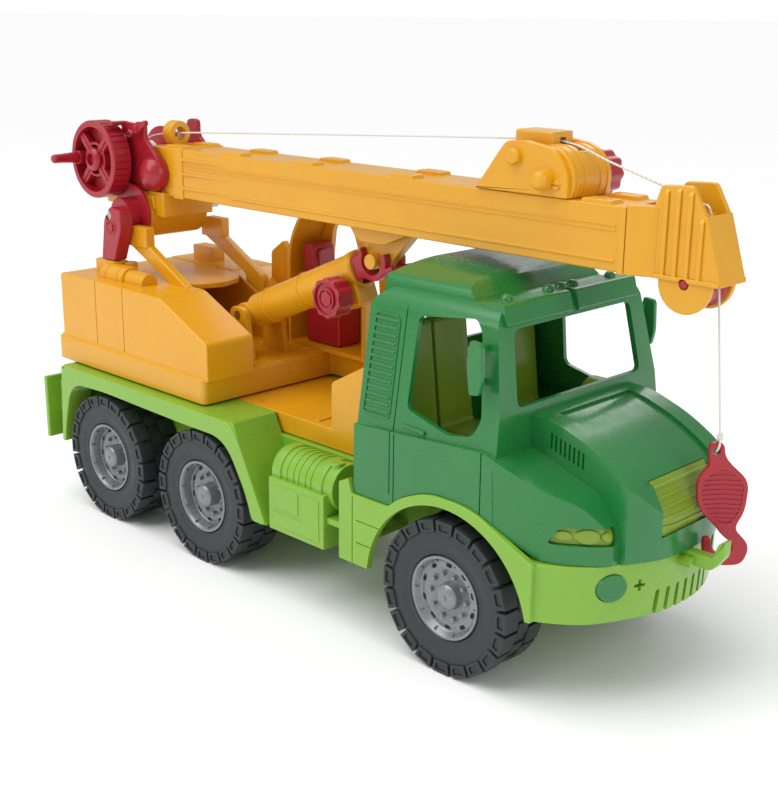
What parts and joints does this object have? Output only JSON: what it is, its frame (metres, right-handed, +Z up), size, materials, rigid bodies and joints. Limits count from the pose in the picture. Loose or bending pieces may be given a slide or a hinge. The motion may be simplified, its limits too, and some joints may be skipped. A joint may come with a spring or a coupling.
{
  "type": "toy crane truck",
  "caption": "Moulded plastic toy crane truck with a slewing turret, a lifting and telescoping boom, a hand winch, a string and a hook.",
  "frame": {"origin": "on the ground under the middle of the toy's length and width", "axes": "+X forwards to the cab, +Y to the driver's left, +Z up"},
  "size_m": [0.541, 0.162, 0.2995],
  "materials": {
    "lime": "moulded, glossy",
    "green": "moulded, glossy",
    "olive": "moulded, semi-gloss",
    "yellow": "moulded, glossy",
    "red": "moulded, glossy",
    "tyre": "moulded, satin",
    "silver": "moulded, silver-grey",
    "white": "moulded",
    "steel": "plain",
    "string": "braided cotton string"
  },
  "bodies": {
    "truck": {"chassis_frame": "lime", "deck": "yellow", "cab_shell": "green", "cab_interior": "olive", "fog_lamp_right": "green", "fog_lamp_left": "green", "deck_screw_1": "steel", "deck_screw_2": "steel", "cab_screw_1": "steel", "cab_screw_2": "steel"},
    "front_wheels": {"front_axle": "steel", "front_right_tyre": "tyre", "front_right_rim": "silver", "front_left_tyre": "tyre", "front_left_rim": "silver"},
    "middle_wheels": {"middle_axle": "steel", "middle_right_tyre": "tyre", "middle_right_rim": "silver", "middle_left_tyre": "tyre", "middle_left_rim": "silver"},
    "rear_wheels": {"rear_axle": "steel", "rear_right_tyre": "tyre", "rear_right_rim": "silver", "rear_left_tyre": "tyre", "rear_left_rim": "silver"},
    "turret": {"turret_base": "yellow", "turret_clip": "white", "operator_cab": "yellow", "operator_seat": "red", "boom_bracket_right": "red", "boom_bracket_left": "red", "boom_pivot_pin": "steel", "lift_foot_pin": "steel"},
    "lift_tube": {"lift_tube": "yellow"},
    "lift_rod": {"lift_rod": "red"},
    "lift_knob": {"lift_knob": "red"},
    "boom": {"outer_boom": "yellow", "drive_housing": "yellow", "winch_frame": "red", "string_over_boom": "string"},
    "pawl": {"pawl_lever": "red"},
    "winch": {"winch_drum": "red", "winch_wheel": "red", "string_wrap": "string", "crank_handle": "red"},
    "extension_knob": {"extension_knob": "red"},
    "inner_boom": {"inner_boom": "yellow", "boom_head": "yellow", "pulley_axle": "red"},
    "tip_pulley": {"tip_pulley": "red"},
    "hanging_string": {"string_fall": "string"},
    "hook": {"hook": "red"}
  },
  "joints": [
    {"name": "front_wheels_roll", "type": "hinge", "parent": "truck", "child": "front_wheels", "pos_m": [0.1415, 0, 0.046], "axis": [0, 1, 0], "continuous": true},
    {"name": "middle_wheels_roll", "type": "hinge", "parent": "truck", "child": "middle_wheels", "pos_m": [-0.079, 0, 0.046], "axis": [0, 1, 0], "continuous": true},
    {"name": "rear_wheels_roll", "type": "hinge", "parent": "truck", "child": "rear_wheels", "pos_m": [-0.19, 0, 0.046], "axis": [0, 1, 0], "continuous": true},
    {"name": "turret_slew", "type": "hinge", "parent": "truck", "child": "turret", "pos_m": [-0.1485, 0, 0.1075], "axis": [0, 0, 1], "continuous": true},
    {"name": "boom_lift", "type": "hinge", "parent": "turret", "child": "boom", "pos_m": [-0.2185, 0, 0.217], "axis": [0, -1, 0], "range_deg": [0, 25]},
    {"name": "lift_tube_tilt", "type": "hinge", "parent": "turret", "child": "lift_tube", "pos_m": [-0.1125, 0, 0.156], "axis": [0, -1, 0], "range_deg": [0, 32.9]},
    {"name": "lift_rod_slide", "type": "slide", "parent": "lift_tube", "child": "lift_rod", "axis": [0.9168, 0, 0.3993], "range_m": [0, 0.0498]},
    {"name": "lift_knob_turn", "type": "hinge", "parent": "lift_tube", "child": "lift_knob", "pos_m": [-0.01172, 0, 0.18505], "axis": [0, 1, 0], "range_deg": [0, 510]},
    {"name": "boom_extend", "type": "slide", "parent": "boom", "child": "inner_boom", "axis": [1, 0, 0], "range_m": [0, 0.15], "deforming": ["string_over_boom"]},
    {"name": "extension_knob_turn", "type": "hinge", "parent": "boom", "child": "extension_knob", "pos_m": [0.1535, 0, 0.2753], "axis": [0, -1, 0], "range_deg": [0, 616]},
    {"name": "winch_crank", "type": "hinge", "parent": "boom", "child": "winch", "pos_m": [-0.2425, 0, 0.255], "axis": [0, -1, 0], "range_deg": [0, 272]},
    {"name": "pawl_tilt", "type": "hinge", "parent": "boom", "child": "pawl", "pos_m": [-0.2105, 0, 0.278], "axis": [0, 1, 0], "range_deg": [0, 20]},
    {"name": "tip_pulley_turn", "type": "hinge", "parent": "inner_boom", "child": "tip_pulley", "pos_m": [0.2385, 0, 0.23], "axis": [0, -1, 0], "range_deg": [0, 246]},
    {"name": "string_swing", "type": "hinge", "parent": "inner_boom", "child": "hanging_string", "pos_m": [0.2385, 0, 0.23], "axis": [0, -1, 0], "range_deg": [-27.2, 0]},
    {"name": "hook_hoist", "type": "slide", "parent": "hanging_string", "child": "hook", "axis": [-0.0339, -0.1102, 0.9933], "range_m": [0, 0.0552], "deforming": ["string_fall"]}
  ],
  "couplings": [
    {"joint": "lift_tube_tilt", "follows": "boom_lift", "ratio": 1.308},
    {"joint": "lift_rod_slide", "follows": "boom_lift", "m_per_rad": 0.1137},
    {"joint": "lift_knob_turn", "follows": "boom_lift", "ratio": 20.304},
    {"joint": "string_swing", "follows": "boom_lift", "ratio": -1.08},
    {"joint": "extension_knob_turn", "follows": "boom_extend", "rad_per_m": 71.429},
    {"joint": "tip_pulley_turn", "follows": "winch_crank", "ratio": 0.9},
    {"joint": "hook_hoist", "follows": "winch_crank", "m_per_rad": 0.0116}
  ]
}
